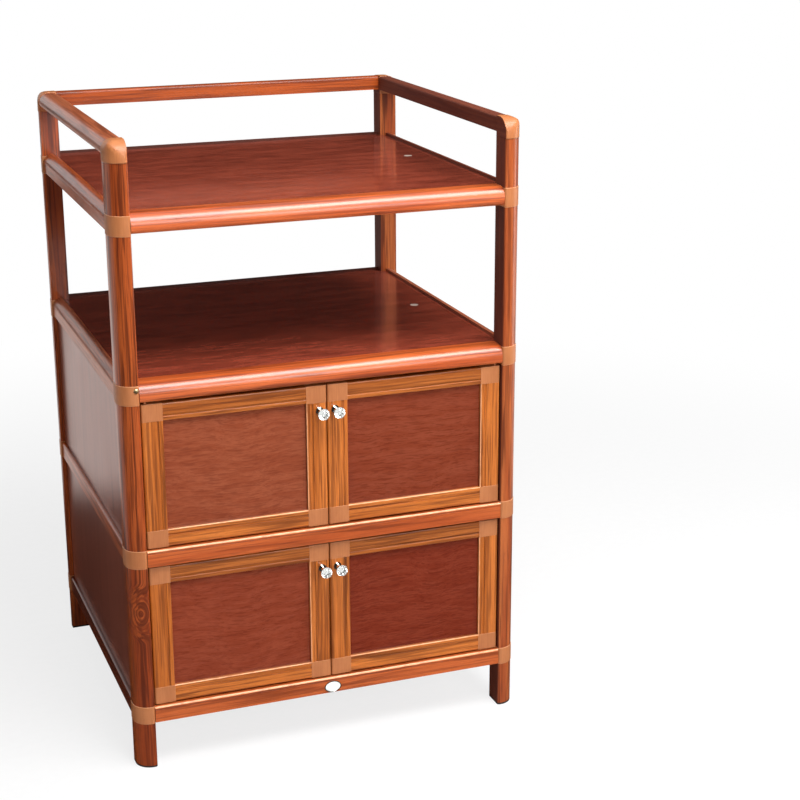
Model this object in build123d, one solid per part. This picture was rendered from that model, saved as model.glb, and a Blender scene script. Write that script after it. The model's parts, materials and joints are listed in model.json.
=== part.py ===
from build123d import *
import os

# A kitchen cupboard of wood-grained metal bars and moulded corner joints. It has a railed top
# shelf, an open tier for an oven, and two tiers of double doors.
# Millimetres. X runs to the right, Y to the rear and Z up. The origin is at the floor, under
# the middle of the whole object.

# Frame, measured over the corner joints
cabinet_width = 890.0
cabinet_depth = 830.0

# Heights, from the floor up
foot_height = 106.0
low_rail_height = 36.0
door_opening_height = 324.0
shelf_rail_height = 44.0
open_tier_height = 306.0
guard_height = 142.0
guard_rail_height = 33.0

# Post tubes
post_width = 42.0
post_depth = 50.0
post_outer_radius = 34.0
post_inner_radius = 6.0
tube_wall = 2.0

# Corner joints, which stand proud of the tubes and plug into tubes and rails
joint_proud = 1.0
low_joint_lap = 2.0
shelf_joint_height = 42.0
shelf_joint_drop = 4.0
guard_joint_height = 44.0
guard_elbow_radius = 34.0
plug_length = 26.0
plug_clearance = 0.3

# Rails with a ledge for a floor panel
ledge_rail_width = 36.0
ledge_rail_inset = 3.0
ledge_width = 12.0
ledge_lip = 6.0
rail_edge_radius = 5.0
shelf_edge_radius = 22.0

# Front rails
front_rail_depth = 48.0
front_bead_height = 6.0
front_bead_groove = 1.6
front_edge_radius = 3.6
nose_depth = 62.0
nose_height = 40.0
nose_top_radius = 24.0
nose_bottom_radius = 10.0
nose_cavity_inset = 12.0
nose_cavity_depth = 34.0

# Guard rail
guard_rail_radius = 22.0
guard_under_share = 0.9
guard_cavity_inset = 12.0
guard_cavity_wall = 4.0

# Panels
floor_thickness = 5.0
floor_clearance = 0.5
wall_thickness = 4.0
wall_clearance = 0.3
groove_inset = 8.0
groove_depth = 7.0
groove_end_clearance = 0.5

# Doors
door_thickness = 20.0
door_recess = 8.0
door_side_gap = 2.5
door_middle_gap = 2.0
door_top_gap = 5.5
door_bottom_gap = 3.0
stile_width = 45.0
door_rail_height = 38.0
bead_width = 9.0
bead_groove_width = 5.0
bead_groove_depth = 2.0
bead_radius = 2.0
door_edge_radius = 4.0
bar_wall = 4.0
bar_rear_wall = 3.0
door_plug_length = 24.0
door_joint_proud = 0.5
door_panel_depth = 8.0
door_panel_bite = 8.0

# Pivot pins moulded on the outer door joints
pivot_radius = 3.0
pivot_clearance = 0.05
pivot_from_edge = 10.0
pivot_from_face = 8.0
pivot_engagement = 6.5
pivot_end_clearance = 0.2

# Knobs
knob_from_edge = 16.5
knob_from_top = 55.0
knob_plate_radius = 8.5
knob_plate_thickness = 2.5
knob_neck_radius = 5.0
knob_neck_length = 18.5
knob_shank_radius = 2.0
knob_shank_clearance = 0.1
crystal_sides = 10
crystal_back_radius = 7.0
crystal_radius = 13.5
crystal_table_radius = 8.0
crystal_pavilion = 8.0
crystal_girdle = 2.5
crystal_crown = 8.5

# Magnet catches and their strike plates
catch_width = 76.0
catch_depth = 12.0
catch_height = 14.0
catch_air_gap = 0.3
strike_width = 20.0
strike_height = 12.0
strike_thickness = 1.0
strike_from_edge = 8.0
strike_from_top = 4.0

# Foot caps and badge plate
foot_cap_thickness = 4.0
badge_width = 38.0
badge_height = 27.0
badge_thickness = 1.5

# Levels worked out from the heights
base_bottom = foot_height
base_top = base_bottom + low_rail_height
middle_bottom = base_top + door_opening_height
middle_top = middle_bottom + low_rail_height
counter_bottom = middle_top + door_opening_height
counter_top = counter_bottom + shelf_rail_height
upper_bottom = counter_top + open_tier_height
upper_top = upper_bottom + shelf_rail_height
guard_top = upper_top + guard_height
guard_rail_top = guard_top - joint_proud
guard_rail_bottom = guard_rail_top - guard_rail_height

# The bottom and top of each joint band
shelf_band = (-shelf_joint_drop, shelf_joint_height - shelf_joint_drop)
bands = {
    "base": (base_bottom - low_joint_lap, base_top + low_joint_lap),
    "middle": (middle_bottom - low_joint_lap, middle_top + low_joint_lap),
    "countertop": (counter_bottom + shelf_band[0], counter_bottom + shelf_band[1]),
    "upper_shelf": (upper_bottom + shelf_band[0], upper_bottom + shelf_band[1]),
    "guard": (guard_top - guard_joint_height, guard_top),
}

# Faces of the frame
crystal_depth = crystal_pavilion + crystal_girdle + crystal_crown
knob_reach = knob_plate_thickness + knob_neck_length + crystal_depth - door_recess
left_face = joint_proud - cabinet_width / 2
post_span = cabinet_depth - 2 * joint_proud
front_face = (knob_reach - joint_proud - post_span) / 2
rear_face = front_face + post_span
middle_of_depth = (front_face + rear_face) / 2
opening_left = left_face + post_width

# Grooves that hold the side and back panels, from the outer face of a post
groove_width = wall_thickness + 2 * wall_clearance
groove_start = ledge_rail_inset + groove_inset
groove_end = groove_start + groove_width

# The hollow of a post tube stays clear of both grooves
hollow_x = post_width - groove_depth - tube_wall
hollow_y = post_depth - groove_depth - tube_wall
pivot_bore_depth = pivot_engagement + pivot_end_clearance


def rect(x0, x1, y0, y1):
    """A rectangle between two corners."""
    return Pos((x0 + x1) / 2, (y0 + y1) / 2) * Rectangle(x1 - x0, y1 - y0)


def block(x0, x1, y0, y1, z0, z1):
    """A box between two corners."""
    return Pos((x0 + x1) / 2, (y0 + y1) / 2, (z0 + z1) / 2) * Box(x1 - x0, y1 - y0, z1 - z0)


def rounded(outline, x, y, radius):
    """The outline with its corner nearest to x, y rounded."""
    corner = min(outline.vertices(), key=lambda v: (v.X - x) ** 2 + (v.Y - y) ** 2)
    return fillet(corner, radius)


def along_x(section, x0, x1):
    """A bar from x0 to x1, whose section is drawn in Y and Z."""
    plane = Plane(origin=(x0, 0, 0), x_dir=(0, 1, 0), z_dir=(1, 0, 0))
    return extrude(plane * section, amount=x1 - x0)


def along_y(section, y0, y1):
    """A bar from y0 to y1, whose section is drawn in X and Z."""
    plane = Plane(origin=(0, y1, 0), x_dir=(1, 0, 0), z_dir=(0, -1, 0))
    return extrude(plane * section, amount=y1 - y0)


def upright(section, z0, z1):
    """A bar from z0 to z1, whose section is drawn in X and Y."""
    return extrude(Pos(0, 0, z0) * section, amount=z1 - z0)


def mirrored(shape, right, rear):
    """A shape made at the front left, moved to another corner of the frame."""
    if right:
        shape = mirror(shape, about=Plane.YZ)
    if rear:
        shape = mirror(shape, about=Plane.XZ.offset(-middle_of_depth))
    return shape


def at_corner(shape, right, rear):
    """A shape drawn from the outer corner of a post, placed at one corner of the frame."""
    return mirrored(Pos(left_face, front_face, 0) * shape, right, rear)


def save(name, solids):
    """Writes the solids of one node."""
    export_step(Compound(children=list(solids)), f"parts/{name}.step")


corners = {
    "front_left": (False, False),
    "front_right": (True, False),
    "rear_left": (False, True),
    "rear_right": (True, True),
}


# Posts

def post_section(proud):
    """Outline of a post with its large round outer corner at the origin."""
    section = rect(-proud, post_width, -proud, post_depth)
    section = rounded(section, -proud, -proud, post_outer_radius + proud)
    return rounded(section, post_width, -proud, post_inner_radius)


def post_hollow(clearance):
    """The hollow of a post tube, or a plug that fits it."""
    near = tube_wall + clearance
    hollow = rect(near, post_width - near, near, post_depth - near)
    hollow = rounded(hollow, near, near, post_outer_radius - near)
    return hollow & rect(near, hollow_x - clearance, near, hollow_y - clearance)


def panel_grooves(rear):
    """Grooves for a side panel and, at the rear, for a back panel."""
    grooves = rect(groove_start, groove_end, post_depth - groove_depth, post_depth)
    if rear:
        grooves += rect(post_width - groove_depth, post_width, groove_start, groove_end)
    return grooves


def post_tube(z0, z1, grooved, rear):
    section = post_section(0) - post_hollow(0)
    if grooved:
        section -= panel_grooves(rear)
    return upright(section, z0, z1)


# One tube between each pair of joints, and one below the lowest joint
tube_spans = [
    (foot_cap_thickness, bands["base"][0], False),
    (bands["base"][1], bands["middle"][0], True),
    (bands["middle"][1], bands["countertop"][0], True),
    (bands["countertop"][1], bands["upper_shelf"][0], False),
    (bands["upper_shelf"][1], bands["guard"][0], False),
]


def make_post(right, rear):
    return [at_corner(post_tube(z0, z1, grooved, rear), right, rear) for z0, z1, grooved in tube_spans]


# Rails

def rail_hollow(height, edge_radius):
    """The hollow of a ledge rail as low and high corners, from the rail's outer lower edge.

    Its upper outer corner keeps a full wall under the rail's round edge."""
    under = groove_depth + tube_wall
    over = max(ledge_lip + floor_thickness, groove_depth) + tube_wall
    rise = max(edge_radius - over, 0)
    outer = edge_radius - ((edge_radius - tube_wall) ** 2 - rise**2) ** 0.5
    return outer, ledge_rail_width - tube_wall, under, height - over


def ledge_rail_section(height, edge_radius, groove_over, groove_under):
    section = rect(0, ledge_rail_width, 0, height)
    section = rounded(section, 0, height, edge_radius)
    ledge = height - ledge_lip - floor_thickness
    section -= rect(ledge_rail_width - ledge_width, ledge_rail_width, ledge, height)
    groove = (groove_inset, groove_inset + groove_width)
    if groove_over:
        section -= rect(*groove, height - groove_depth, height)
    if groove_under:
        section -= rect(*groove, 0, groove_depth)
    return section - rect(*rail_hollow(height, edge_radius))


def side_rails(bottom, section, inset):
    """A rail along each side, between the posts."""
    rail = along_y(Pos(left_face + inset, bottom) * section, front_face + post_depth, rear_face - post_depth)
    return [mirrored(rail, right, False) for right in (False, True)]


def rear_rail(bottom, section, inset):
    """A rail along the rear, between the posts, drawn at the front and mirrored."""
    rail = along_x(Pos(front_face + inset, bottom) * section, opening_left, -opening_left)
    return [mirrored(rail, False, True)]


def front_rail_hollow():
    over = ledge_lip + floor_thickness + tube_wall
    return tube_wall, front_rail_depth - tube_wall, pivot_bore_depth + tube_wall, low_rail_height - over


def front_rail_section():
    """Flat front rail with a bead along its top edge and a ledge behind."""
    section = rect(0, front_rail_depth, 0, low_rail_height)
    section = rounded(section, 0, low_rail_height, front_edge_radius)
    ledge = low_rail_height - ledge_lip - floor_thickness
    section -= rect(front_rail_depth - ledge_width, front_rail_depth, ledge, low_rail_height)
    bead_foot = low_rail_height - front_bead_height
    section -= rect(0, front_bead_groove, bead_foot - front_bead_groove, bead_foot)
    return section - rect(*front_rail_hollow())


def nose_hollow():
    ledge = shelf_rail_height - ledge_lip - floor_thickness
    front = nose_cavity_inset
    return front, front + nose_cavity_depth, pivot_bore_depth + tube_wall, ledge - tube_wall


def nose_section():
    """Front rail of a shelf, with a round nose and a ledge behind."""
    section = rect(0, nose_depth, 0, nose_height)
    section = rounded(section, 0, nose_height, nose_top_radius)
    section = rounded(section, 0, 0, nose_bottom_radius)
    ledge = shelf_rail_height - ledge_lip - floor_thickness
    section -= rect(nose_depth - ledge_width, nose_depth, ledge, nose_height)
    return section - rect(*nose_hollow())


def guard_hollow():
    inner = post_width - guard_cavity_wall
    return guard_cavity_inset, inner, guard_cavity_wall, guard_rail_height - guard_cavity_inset


def guard_section():
    """Guard rail as wide as a post, with its outer side rounded over and under."""
    section = rect(0, post_width, 0, guard_rail_height)
    section = rounded(section, 0, 0, guard_under_share * (guard_rail_height - guard_rail_radius))
    section = rounded(section, 0, guard_rail_height, guard_rail_radius)
    section = rounded(section, post_width, guard_rail_height, rail_edge_radius)
    return section - rect(*guard_hollow())


# Door pivots, from the left edge of the door opening
pivot_x = opening_left + door_side_gap + pivot_from_edge
pivot_y = front_face + door_recess + pivot_from_face


def front_rail(bottom, section, height, bore_over, bore_under):
    """A front rail between the posts, bored for the door pivots."""
    rail = along_x(Pos(front_face, bottom) * section, opening_left, -opening_left)
    bore_radius = pivot_radius + pivot_clearance
    bore = Cylinder(bore_radius, pivot_bore_depth)
    for x in (pivot_x, -pivot_x):
        if bore_over:
            rail -= Pos(x, pivot_y, bottom + height - pivot_bore_depth / 2) * bore
        if bore_under:
            rail -= Pos(x, pivot_y, bottom + pivot_bore_depth / 2) * bore
    return [rail]


# Corner joints

def plug_into_side(hollow, bottom, inset):
    """A plug that runs to the rear, into a side rail."""
    a0, a1, z0, z1 = hollow
    fit = plug_clearance
    across = (inset + a0 + fit, inset + a1 - fit)
    return block(*across, post_depth, post_depth + plug_length, bottom + z0 + fit, bottom + z1 - fit)


def plug_into_front(hollow, bottom, inset):
    """A plug that runs inwards, into a front or rear rail."""
    b0, b1, z0, z1 = hollow
    fit = plug_clearance
    across = (inset + b0 + fit, inset + b1 - fit)
    return block(post_width, post_width + plug_length, *across, bottom + z0 + fit, bottom + z1 - fit)


def joint_band(z0, z1, grooved, rear):
    section = post_section(joint_proud)
    if grooved:
        section -= panel_grooves(rear)
    return upright(section, z0, z1)


def frame_joints(level, rail_bottom, side_hollow, front_hollow, grooved):
    """The four joints of one level, each with plugs for two tubes and two rails."""
    z0, z1 = bands[level]
    made = []
    for right, rear in corners.values():
        joint = joint_band(z0, z1, grooved, rear)
        joint += upright(post_hollow(plug_clearance), z0 - plug_length, z1 + plug_length)
        joint += plug_into_side(side_hollow, rail_bottom, ledge_rail_inset)
        across = (side_hollow, ledge_rail_inset) if rear else (front_hollow, 0)
        joint += plug_into_front(across[0], rail_bottom, across[1])
        made.append(at_corner(joint, right, rear))
    return made


def guard_joints():
    """Elbows at the front, where the guard ends, and round corners at the rear."""
    z0, z1 = bands["guard"]
    low = -joint_proud
    made = []
    for right, rear in corners.values():
        joint = joint_band(z0, z1, False, rear)
        over = guard_rail_radius + joint_proud
        side_view = rounded(rect(low, post_depth, z0, z1), low, z1, over if rear else guard_elbow_radius)
        front_view = rounded(rect(low, post_width, z0, z1), low, z1, over)
        joint &= along_x(side_view, low, post_width)
        joint &= along_y(front_view, low, post_depth)
        joint += upright(post_hollow(plug_clearance), z0 - plug_length, z0)
        joint += plug_into_side(guard_hollow(), guard_rail_bottom, 0)
        if rear:
            joint += plug_into_front(guard_hollow(), guard_rail_bottom, 0)
        made.append(at_corner(joint, right, rear))
    return made


# Panels

def floor_panel(rail_top, front_edge, floor_front_notch):
    """A floor that drops onto the ledges from above, notched round the posts."""
    top = rail_top - ledge_lip
    edge = ledge_rail_inset + ledge_rail_width - ledge_width + floor_clearance
    x0 = left_face + edge
    y0 = front_face + front_edge + floor_clearance
    y1 = rear_face - edge
    outline = rect(x0, -x0, y0, y1)
    notch_x = opening_left + floor_clearance
    rear_notch = rear_face - post_depth - floor_clearance
    front_notch = front_face + post_depth + floor_clearance
    for a, b in ((x0, notch_x), (-notch_x, -x0)):
        outline -= rect(a, b, rear_notch, y1)
        if floor_front_notch:
            outline -= rect(a, b, y0, front_notch)
    return [upright(outline, top - floor_thickness, top)]


def side_panel(low_rail_top, high_rail_bottom, right):
    """A wall panel held in the grooves of two posts and two rails."""
    x0 = left_face + groove_start + wall_clearance
    bite = groove_depth - groove_end_clearance
    y0 = front_face + post_depth - bite
    y1 = rear_face - post_depth + bite
    panel = block(x0, x0 + wall_thickness, y0, y1, low_rail_top - groove_depth, high_rail_bottom + bite)
    return mirrored(panel, right, False)


def back_panel(low_rail_top, high_rail_bottom):
    y1 = rear_face - groove_start - wall_clearance
    bite = groove_depth - groove_end_clearance
    x0 = opening_left - bite
    return block(x0, -x0, y1 - wall_thickness, y1, low_rail_top - groove_depth, high_rail_bottom + bite)


tiers = {"upper": (middle_top, counter_bottom), "lower": (base_top, middle_bottom)}


# Doors, drawn from the outer lower front corner of a left door

door_width = (-2 * opening_left - 2 * door_side_gap - door_middle_gap) / 2
door_height = door_opening_height - door_top_gap - door_bottom_gap
slot_front = door_panel_depth - wall_clearance
slot_rear = slot_front + groove_width


def bar_section(width):
    """Door bar from its outer edge inwards: flat, groove, bead and the slot for the panel."""
    bead_start = width - bead_width
    section = rect(0, width, 0, door_thickness)
    section = rounded(section, 0, 0, door_edge_radius)
    section = rounded(section, width, 0, bead_radius)
    section -= rect(bead_start - bead_groove_width, bead_start, 0, bead_groove_depth)
    section = rounded(section, bead_start, 0, bead_radius / 2)
    section -= rect(width - door_panel_bite, width, slot_front, slot_rear)
    return section - rect(*bar_hollow(width))


def bar_hollow(width):
    return bar_wall, width - door_panel_bite - bar_wall, bar_wall, door_thickness - bar_rear_wall


def turned(section):
    """The section with its width upright, for a bar that lies along X."""
    return mirror(Rot(0, 0, 90) * section, about=Plane.YZ)


def door_stiles():
    stile = upright(bar_section(stile_width), door_rail_height, door_height - door_rail_height)
    hole = Rot(90, 0, 0) * Cylinder(knob_shank_radius + knob_shank_clearance, 2 * bar_wall)
    inner = Pos(door_width, 0, 0) * mirror(stile, about=Plane.YZ)
    inner -= Pos(door_width - knob_from_edge, 0, door_height - knob_from_top) * hole
    return [stile, inner]


def door_rails():
    section = turned(bar_section(door_rail_height))
    lower = along_x(section, stile_width, door_width - stile_width)
    upper = Pos(0, 0, door_height) * mirror(lower, about=Plane.XY)
    return [lower, upper]


def door_joint(pin):
    """Lower outer corner of a door, with plugs for its bars and a pivot pin on the hinge side."""
    corner = rect(0, stile_width, -door_joint_proud, door_thickness)
    corner = rounded(corner, 0, -door_joint_proud, door_edge_radius)
    joint = upright(corner, 0, door_rail_height)
    slot_x = stile_width - door_panel_bite
    slot_z = door_rail_height - door_panel_bite
    joint -= block(slot_x, stile_width, slot_front, slot_rear, slot_z, door_rail_height)
    fit = plug_clearance
    a0, a1, t0, t1 = bar_hollow(stile_width)
    top = door_rail_height + door_plug_length
    joint += block(a0 + fit, a1 - fit, t0 + fit, t1 - fit, door_rail_height, top)
    a0, a1, t0, t1 = bar_hollow(door_rail_height)
    end = stile_width + door_plug_length
    joint += block(stile_width, end, t0 + fit, t1 - fit, a0 + fit, a1 - fit)
    if pin:
        length = door_bottom_gap + pivot_engagement
        joint += Pos(pivot_from_edge, pivot_from_face, -length / 2) * Cylinder(pivot_radius, length)
    return joint


def door_joints():
    """Four corners. The upper pin is longer, because the gap above the door is wider."""
    spare = door_top_gap - door_bottom_gap
    made = []
    for outer in (True, False):
        lower = door_joint(outer)
        upper = mirror(lower, about=Plane.XY)
        if outer:
            stub = Pos(pivot_from_edge, pivot_from_face, door_bottom_gap + pivot_engagement + spare / 2)
            upper += stub * Cylinder(pivot_radius, spare)
        for joint in (lower, Pos(0, 0, door_height) * upper):
            made.append(joint if outer else Pos(door_width, 0, 0) * mirror(joint, about=Plane.YZ))
    return made


def door_panel():
    """Panel that stands in the lower slot."""
    bite = door_panel_bite - groove_end_clearance
    x0 = stile_width - bite
    z0 = door_rail_height - door_panel_bite
    z1 = door_height - door_rail_height + bite
    return [block(x0, door_width - x0, door_panel_depth, door_panel_depth + wall_thickness, z0, z1)]


def knob_at(depth):
    """Place of a knob's section, at a distance in front of the door."""
    return Plane(
        origin=(door_width - knob_from_edge, -depth, door_height - knob_from_top),
        x_dir=(1, 0, 0),
        z_dir=(0, -1, 0),
    )


def knob_crystal():
    """Cut crystal: a tapered back, a straight girdle and a crown that narrows to a flat table."""
    foot = knob_plate_thickness + knob_neck_length
    girdle = foot + crystal_pavilion
    crown = girdle + crystal_girdle
    table = crown + crystal_crown
    sections = [
        (foot, crystal_back_radius),
        (girdle, crystal_radius),
        (crown, crystal_radius),
        (table, crystal_table_radius),
    ]
    faces = [knob_at(depth) * RegularPolygon(radius, crystal_sides) for depth, radius in sections]
    crystal = loft(faces[0:2], ruled=True)
    crystal += loft(faces[1:3], ruled=True)
    crystal += loft(faces[2:4], ruled=True)
    return [crystal]


def knob_base():
    """Round foot of a knob, with its neck and the shank that goes through the stile's wall."""
    base = extrude(knob_at(0) * Circle(knob_plate_radius), amount=knob_plate_thickness)
    neck = knob_at(knob_plate_thickness) * Circle(knob_neck_radius)
    base += extrude(neck, amount=knob_neck_length)
    return base + extrude(knob_at(0) * Circle(knob_shank_radius), amount=-bar_wall)


def strike_plate():
    x1 = door_width - strike_from_edge
    z1 = door_height - strike_from_top
    depth = (door_thickness, door_thickness + strike_thickness)
    return block(x1 - strike_width, x1, *depth, z1 - strike_height, z1)


def placed_door(solids, tier, right):
    """Door pieces moved to their opening."""
    place = Pos(opening_left + door_side_gap, front_face + door_recess, tiers[tier][0] + door_bottom_gap)
    return [mirrored(place * solid, right, False) for solid in solids]


door_nodes = {
    "stiles": door_stiles(),
    "rails": door_rails(),
    "corner_joints": door_joints(),
    "panel": door_panel(),
    "knob_crystal": knob_crystal(),
    "knob_base_and_strike": [knob_base(), strike_plate()],
}


# Small pieces of the frame

def foot_caps():
    cap = upright(post_section(0), 0, foot_cap_thickness)
    cap += upright(post_hollow(plug_clearance), foot_cap_thickness, foot_cap_thickness + plug_length)
    return [at_corner(cap, right, rear) for right, rear in corners.values()]


def badge_plate():
    """Bare oval plate on the base front rail, below the bead."""
    height = base_bottom + (low_rail_height - front_bead_height - front_bead_groove) / 2
    plane = Plane(origin=(0, front_face, height), x_dir=(1, 0, 0), z_dir=(0, -1, 0))
    return [extrude(plane * Ellipse(badge_width / 2, badge_height / 2), amount=badge_thickness)]


def door_catches():
    """A double magnet under the rail above each pair of doors."""
    y0 = front_face + door_recess + door_thickness + strike_thickness + catch_air_gap
    half = catch_width / 2
    tops = [top for bottom, top in tiers.values()]
    return [block(-half, half, y0, y0 + catch_depth, top - catch_height, top) for top in tops]


os.makedirs("parts", exist_ok=True)

for name, (right, rear) in corners.items():
    save(f"{name}_post", make_post(right, rear))

# Each level's joints: the rails' underside, the hollows of side and front rails, and the grooves
low_hollow = rail_hollow(low_rail_height, rail_edge_radius)
shelf_hollow = rail_hollow(shelf_rail_height, shelf_edge_radius)
joint_levels = {
    "base": (base_bottom, low_hollow, front_rail_hollow(), True),
    "middle": (middle_bottom, low_hollow, front_rail_hollow(), True),
    "countertop": (counter_bottom, shelf_hollow, nose_hollow(), True),
    "upper_shelf": (upper_bottom, shelf_hollow, nose_hollow(), False),
}
for level, (bottom, side_hollow, front_hollow, grooved) in joint_levels.items():
    joints = frame_joints(level, bottom, side_hollow, front_hollow, grooved)
    save(f"{level}_corner_joints", joints)
save("guard_corner_joints", guard_joints())

# Each level's rails: underside, height, round edge, and whether a wall panel stands over or under
rail_levels = {
    "base": (base_bottom, low_rail_height, rail_edge_radius, True, False),
    "middle": (middle_bottom, low_rail_height, rail_edge_radius, True, True),
    "countertop": (counter_bottom, shelf_rail_height, shelf_edge_radius, False, True),
    "upper_shelf": (upper_bottom, shelf_rail_height, shelf_edge_radius, False, False),
}
for level, (bottom, height, edge_radius, groove_over, groove_under) in rail_levels.items():
    section = ledge_rail_section(height, edge_radius, groove_over, groove_under)
    save(f"{level}_side_rails", side_rails(bottom, section, ledge_rail_inset))
    save(f"{level}_rear_rail", rear_rail(bottom, section, ledge_rail_inset))
save("guard_side_rails", side_rails(guard_rail_bottom, guard_section(), 0))
save("guard_rear_rail", rear_rail(guard_rail_bottom, guard_section(), 0))

save("base_front_rail", front_rail(base_bottom, front_rail_section(), low_rail_height, True, False))
save("middle_front_rail", front_rail(middle_bottom, front_rail_section(), low_rail_height, True, True))
save("countertop_front_rail", front_rail(counter_bottom, nose_section(), nose_height, False, True))
save("upper_shelf_front_rail", front_rail(upper_bottom, nose_section(), nose_height, False, False))

save("base_panel", floor_panel(base_top, front_rail_depth - ledge_width, True))
save("middle_shelf_panel", floor_panel(middle_top, front_rail_depth - ledge_width, True))
save("countertop_panel", floor_panel(counter_top, nose_depth - ledge_width, False))
save("upper_shelf_panel", floor_panel(upper_top, nose_depth - ledge_width, False))

for side, right in (("left", False), ("right", True)):
    save(f"{side}_side_panels", [side_panel(low, high, right) for low, high in tiers.values()])
save("back_panels", [back_panel(low, high) for low, high in tiers.values()])

for tier in tiers:
    for side, right in (("left", False), ("right", True)):
        for piece, solids in door_nodes.items():
            save(f"{tier}_{side}_door_{piece}", placed_door(solids, tier, right))

save("foot_caps", foot_caps())
save("badge_plate", badge_plate())
save("door_catches", door_catches())
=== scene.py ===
import json
import math

import bmesh
import bpy
from mathutils import Matrix, Vector

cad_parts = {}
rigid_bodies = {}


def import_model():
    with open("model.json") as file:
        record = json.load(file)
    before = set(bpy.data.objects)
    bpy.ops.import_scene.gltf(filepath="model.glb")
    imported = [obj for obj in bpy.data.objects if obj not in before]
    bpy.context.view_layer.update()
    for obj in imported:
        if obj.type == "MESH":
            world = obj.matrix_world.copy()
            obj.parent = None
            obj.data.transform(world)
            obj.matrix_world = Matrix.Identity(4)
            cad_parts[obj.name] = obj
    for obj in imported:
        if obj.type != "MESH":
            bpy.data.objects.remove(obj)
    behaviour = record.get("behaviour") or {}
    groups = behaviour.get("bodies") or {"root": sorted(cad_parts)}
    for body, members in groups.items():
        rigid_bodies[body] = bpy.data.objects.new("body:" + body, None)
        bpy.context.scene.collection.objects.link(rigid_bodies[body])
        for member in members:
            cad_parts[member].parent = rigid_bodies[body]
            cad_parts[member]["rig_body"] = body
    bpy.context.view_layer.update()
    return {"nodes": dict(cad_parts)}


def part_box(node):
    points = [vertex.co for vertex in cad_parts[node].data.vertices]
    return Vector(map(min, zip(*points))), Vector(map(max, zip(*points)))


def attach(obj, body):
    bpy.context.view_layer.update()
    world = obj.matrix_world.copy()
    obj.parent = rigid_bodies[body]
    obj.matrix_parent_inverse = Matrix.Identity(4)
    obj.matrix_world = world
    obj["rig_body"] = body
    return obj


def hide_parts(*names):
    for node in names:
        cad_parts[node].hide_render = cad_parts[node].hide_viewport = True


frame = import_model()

nodes = frame["nodes"]

# A microwave cabinet of wood-grained metal bars, tan moulded joints and printed glass panels.
# Metres. X runs to the right, Y to the rear and Z up.

MM = 0.001

# Where the photograph was taken from
CAMERA_PLACE = Vector((-1.0938, -3.7580, 1.8961))
CAMERA_YAW = math.radians(20.499)
CAMERA_PITCH = math.radians(17.420)
CAMERA_ROLL = math.radians(-0.220)
FOCAL_PIXELS = 1748.6
IMAGE_PIXELS = 800
SENSOR_WIDTH = 36.0

# The levels and faces that the finishes refer to, read from the frame
countertop_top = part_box("countertop_panel")[1].z
upper_shelf_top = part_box("upper_shelf_panel")[1].z
front_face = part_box("base_front_rail")[0].y

TIERS = ("upper", "lower")
SIDES = ("left", "right")
DOORS = [f"{tier}_{side}_door" for tier in TIERS for side in SIDES]
LEVELS = ("base", "middle", "countertop", "upper_shelf", "guard")


# Shader building blocks

def add(tree, kind, inputs=None, **settings):
    """Adds a shader node. An input is a value, or the socket of another node."""
    made = tree.nodes.new("ShaderNode" + kind)
    for key, value in settings.items():
        setattr(made, key, value)
    for key, value in (inputs or {}).items():
        if isinstance(value, bpy.types.NodeSocket):
            tree.links.new(value, made.inputs[key])
        else:
            made.inputs[key].default_value = value
    return made


def math_node(tree, operation, a, b=0.0):
    return add(tree, "Math", {0: a, 1: b}, operation=operation).outputs[0]


def spread(tree, value, low, high, to_low=0.0, to_high=1.0):
    """Maps low..high to another range, held at both ends."""
    ranges = {"Value": value, "From Min": low, "From Max": high, "To Min": to_low, "To Max": to_high}
    return add(tree, "MapRange", ranges, interpolation_type="SMOOTHSTEP").outputs["Result"]


def weighted_sum(tree, first, first_share, second, second_share):
    one = math_node(tree, "MULTIPLY", first, first_share)
    other = math_node(tree, "MULTIPLY", second, second_share)
    return math_node(tree, "ADD", one, other)


def blend_colour(tree, share, first, second):
    mixed = add(tree, "Mix", {0: share, 6: first, 7: second}, data_type="RGBA")
    return mixed.outputs[2]


def blend_value(tree, share, first, second):
    return add(tree, "Mix", {0: share, 2: first, 3: second}, data_type="FLOAT").outputs[0]


def scaled(tree, vector, factors):
    return add(tree, "VectorMath", {0: vector, 1: factors}, operation="MULTIPLY").outputs[0]


def noise(tree, vector, factors, detail, roughness=0.55, distortion=0.0):
    """Noise whose scale differs along each axis, in repeats per metre."""
    values = {
        "Vector": scaled(tree, vector, factors),
        "Scale": 1.0,
        "Detail": detail,
        "Roughness": roughness,
        "Distortion": distortion,
    }
    return add(tree, "TexNoise", values).outputs[0]


def shader_group(name, inputs, outputs):
    """A node group with named sockets. Returns the tree, its inputs and its output node."""
    tree = bpy.data.node_groups.new(name, "ShaderNodeTree")
    for label, default in inputs.items():
        kind = {1: "NodeSocketFloat", 3: "NodeSocketVector", 4: "NodeSocketColor"}
        size = 1 if isinstance(default, float) else len(default)
        socket = tree.interface.new_socket(label, in_out="INPUT", socket_type=kind[size])
        socket.default_value = default
    for label, kind in outputs.items():
        tree.interface.new_socket(label, in_out="OUTPUT", socket_type="NodeSocket" + kind)
    entry = tree.nodes.new("NodeGroupInput")
    return tree, entry.outputs, tree.nodes.new("NodeGroupOutput")


def place_group(tree, group, inputs):
    """Puts a node group into a tree. Returns its outputs."""
    made = tree.nodes.new("ShaderNodeGroup")
    made.node_tree = group
    for key, value in inputs.items():
        if isinstance(value, bpy.types.NodeSocket):
            tree.links.new(value, made.inputs[key])
        else:
            made.inputs[key].default_value = value
    return made.outputs


def colour(red, green, blue):
    """A colour with its alpha, from linear red, green and blue."""
    return (red, green, blue, 1.0)


# Wood grain, which runs along X of the vector that it is given

# Width of a ring round a knot, and how far the rings stray from even ones, in radians
KNOT_RING = 5.5 * MM
RING_STRAY = 9.0
# Round a knot, lengths along the grain count by this share, which draws the knot out along it
KNOT_SQUEEZE = 0.55
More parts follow.
